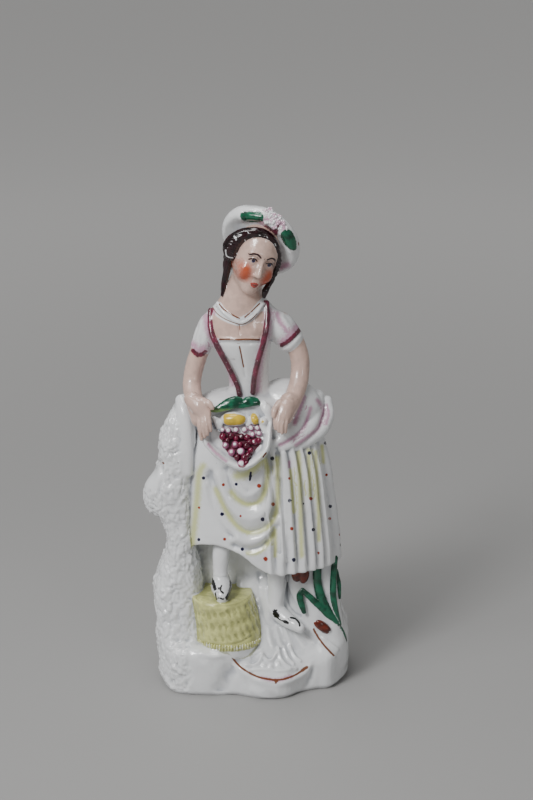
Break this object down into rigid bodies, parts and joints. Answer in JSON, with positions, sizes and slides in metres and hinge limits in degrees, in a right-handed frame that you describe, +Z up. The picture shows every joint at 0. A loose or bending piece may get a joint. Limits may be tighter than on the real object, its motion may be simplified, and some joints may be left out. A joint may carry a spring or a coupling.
{
  "type": "staffordshire figure",
  "caption": "Glazed pottery figure of a girl with fruit in her gathered apron, stepping on an upturned basket before a tree stump, on a rocky mound.",
  "frame": {"origin": "a point of the flat underside, midway between the mound's left and right walls, 31 mm in front of its back wall", "axes": "+Z up to the hat, -Y out of the figure's front towards the viewer, +X to the viewer's right, which is the figure's left hand"},
  "size_m": [0.1117, 0.07, 0.2633],
  "materials": {
    "glazed_pottery": "clear gloss glaze over white pottery with painted enamel colours"
  },
  "bodies": {
    "root": {"figure": "glazed_pottery"}
  },
  "joints": []
}
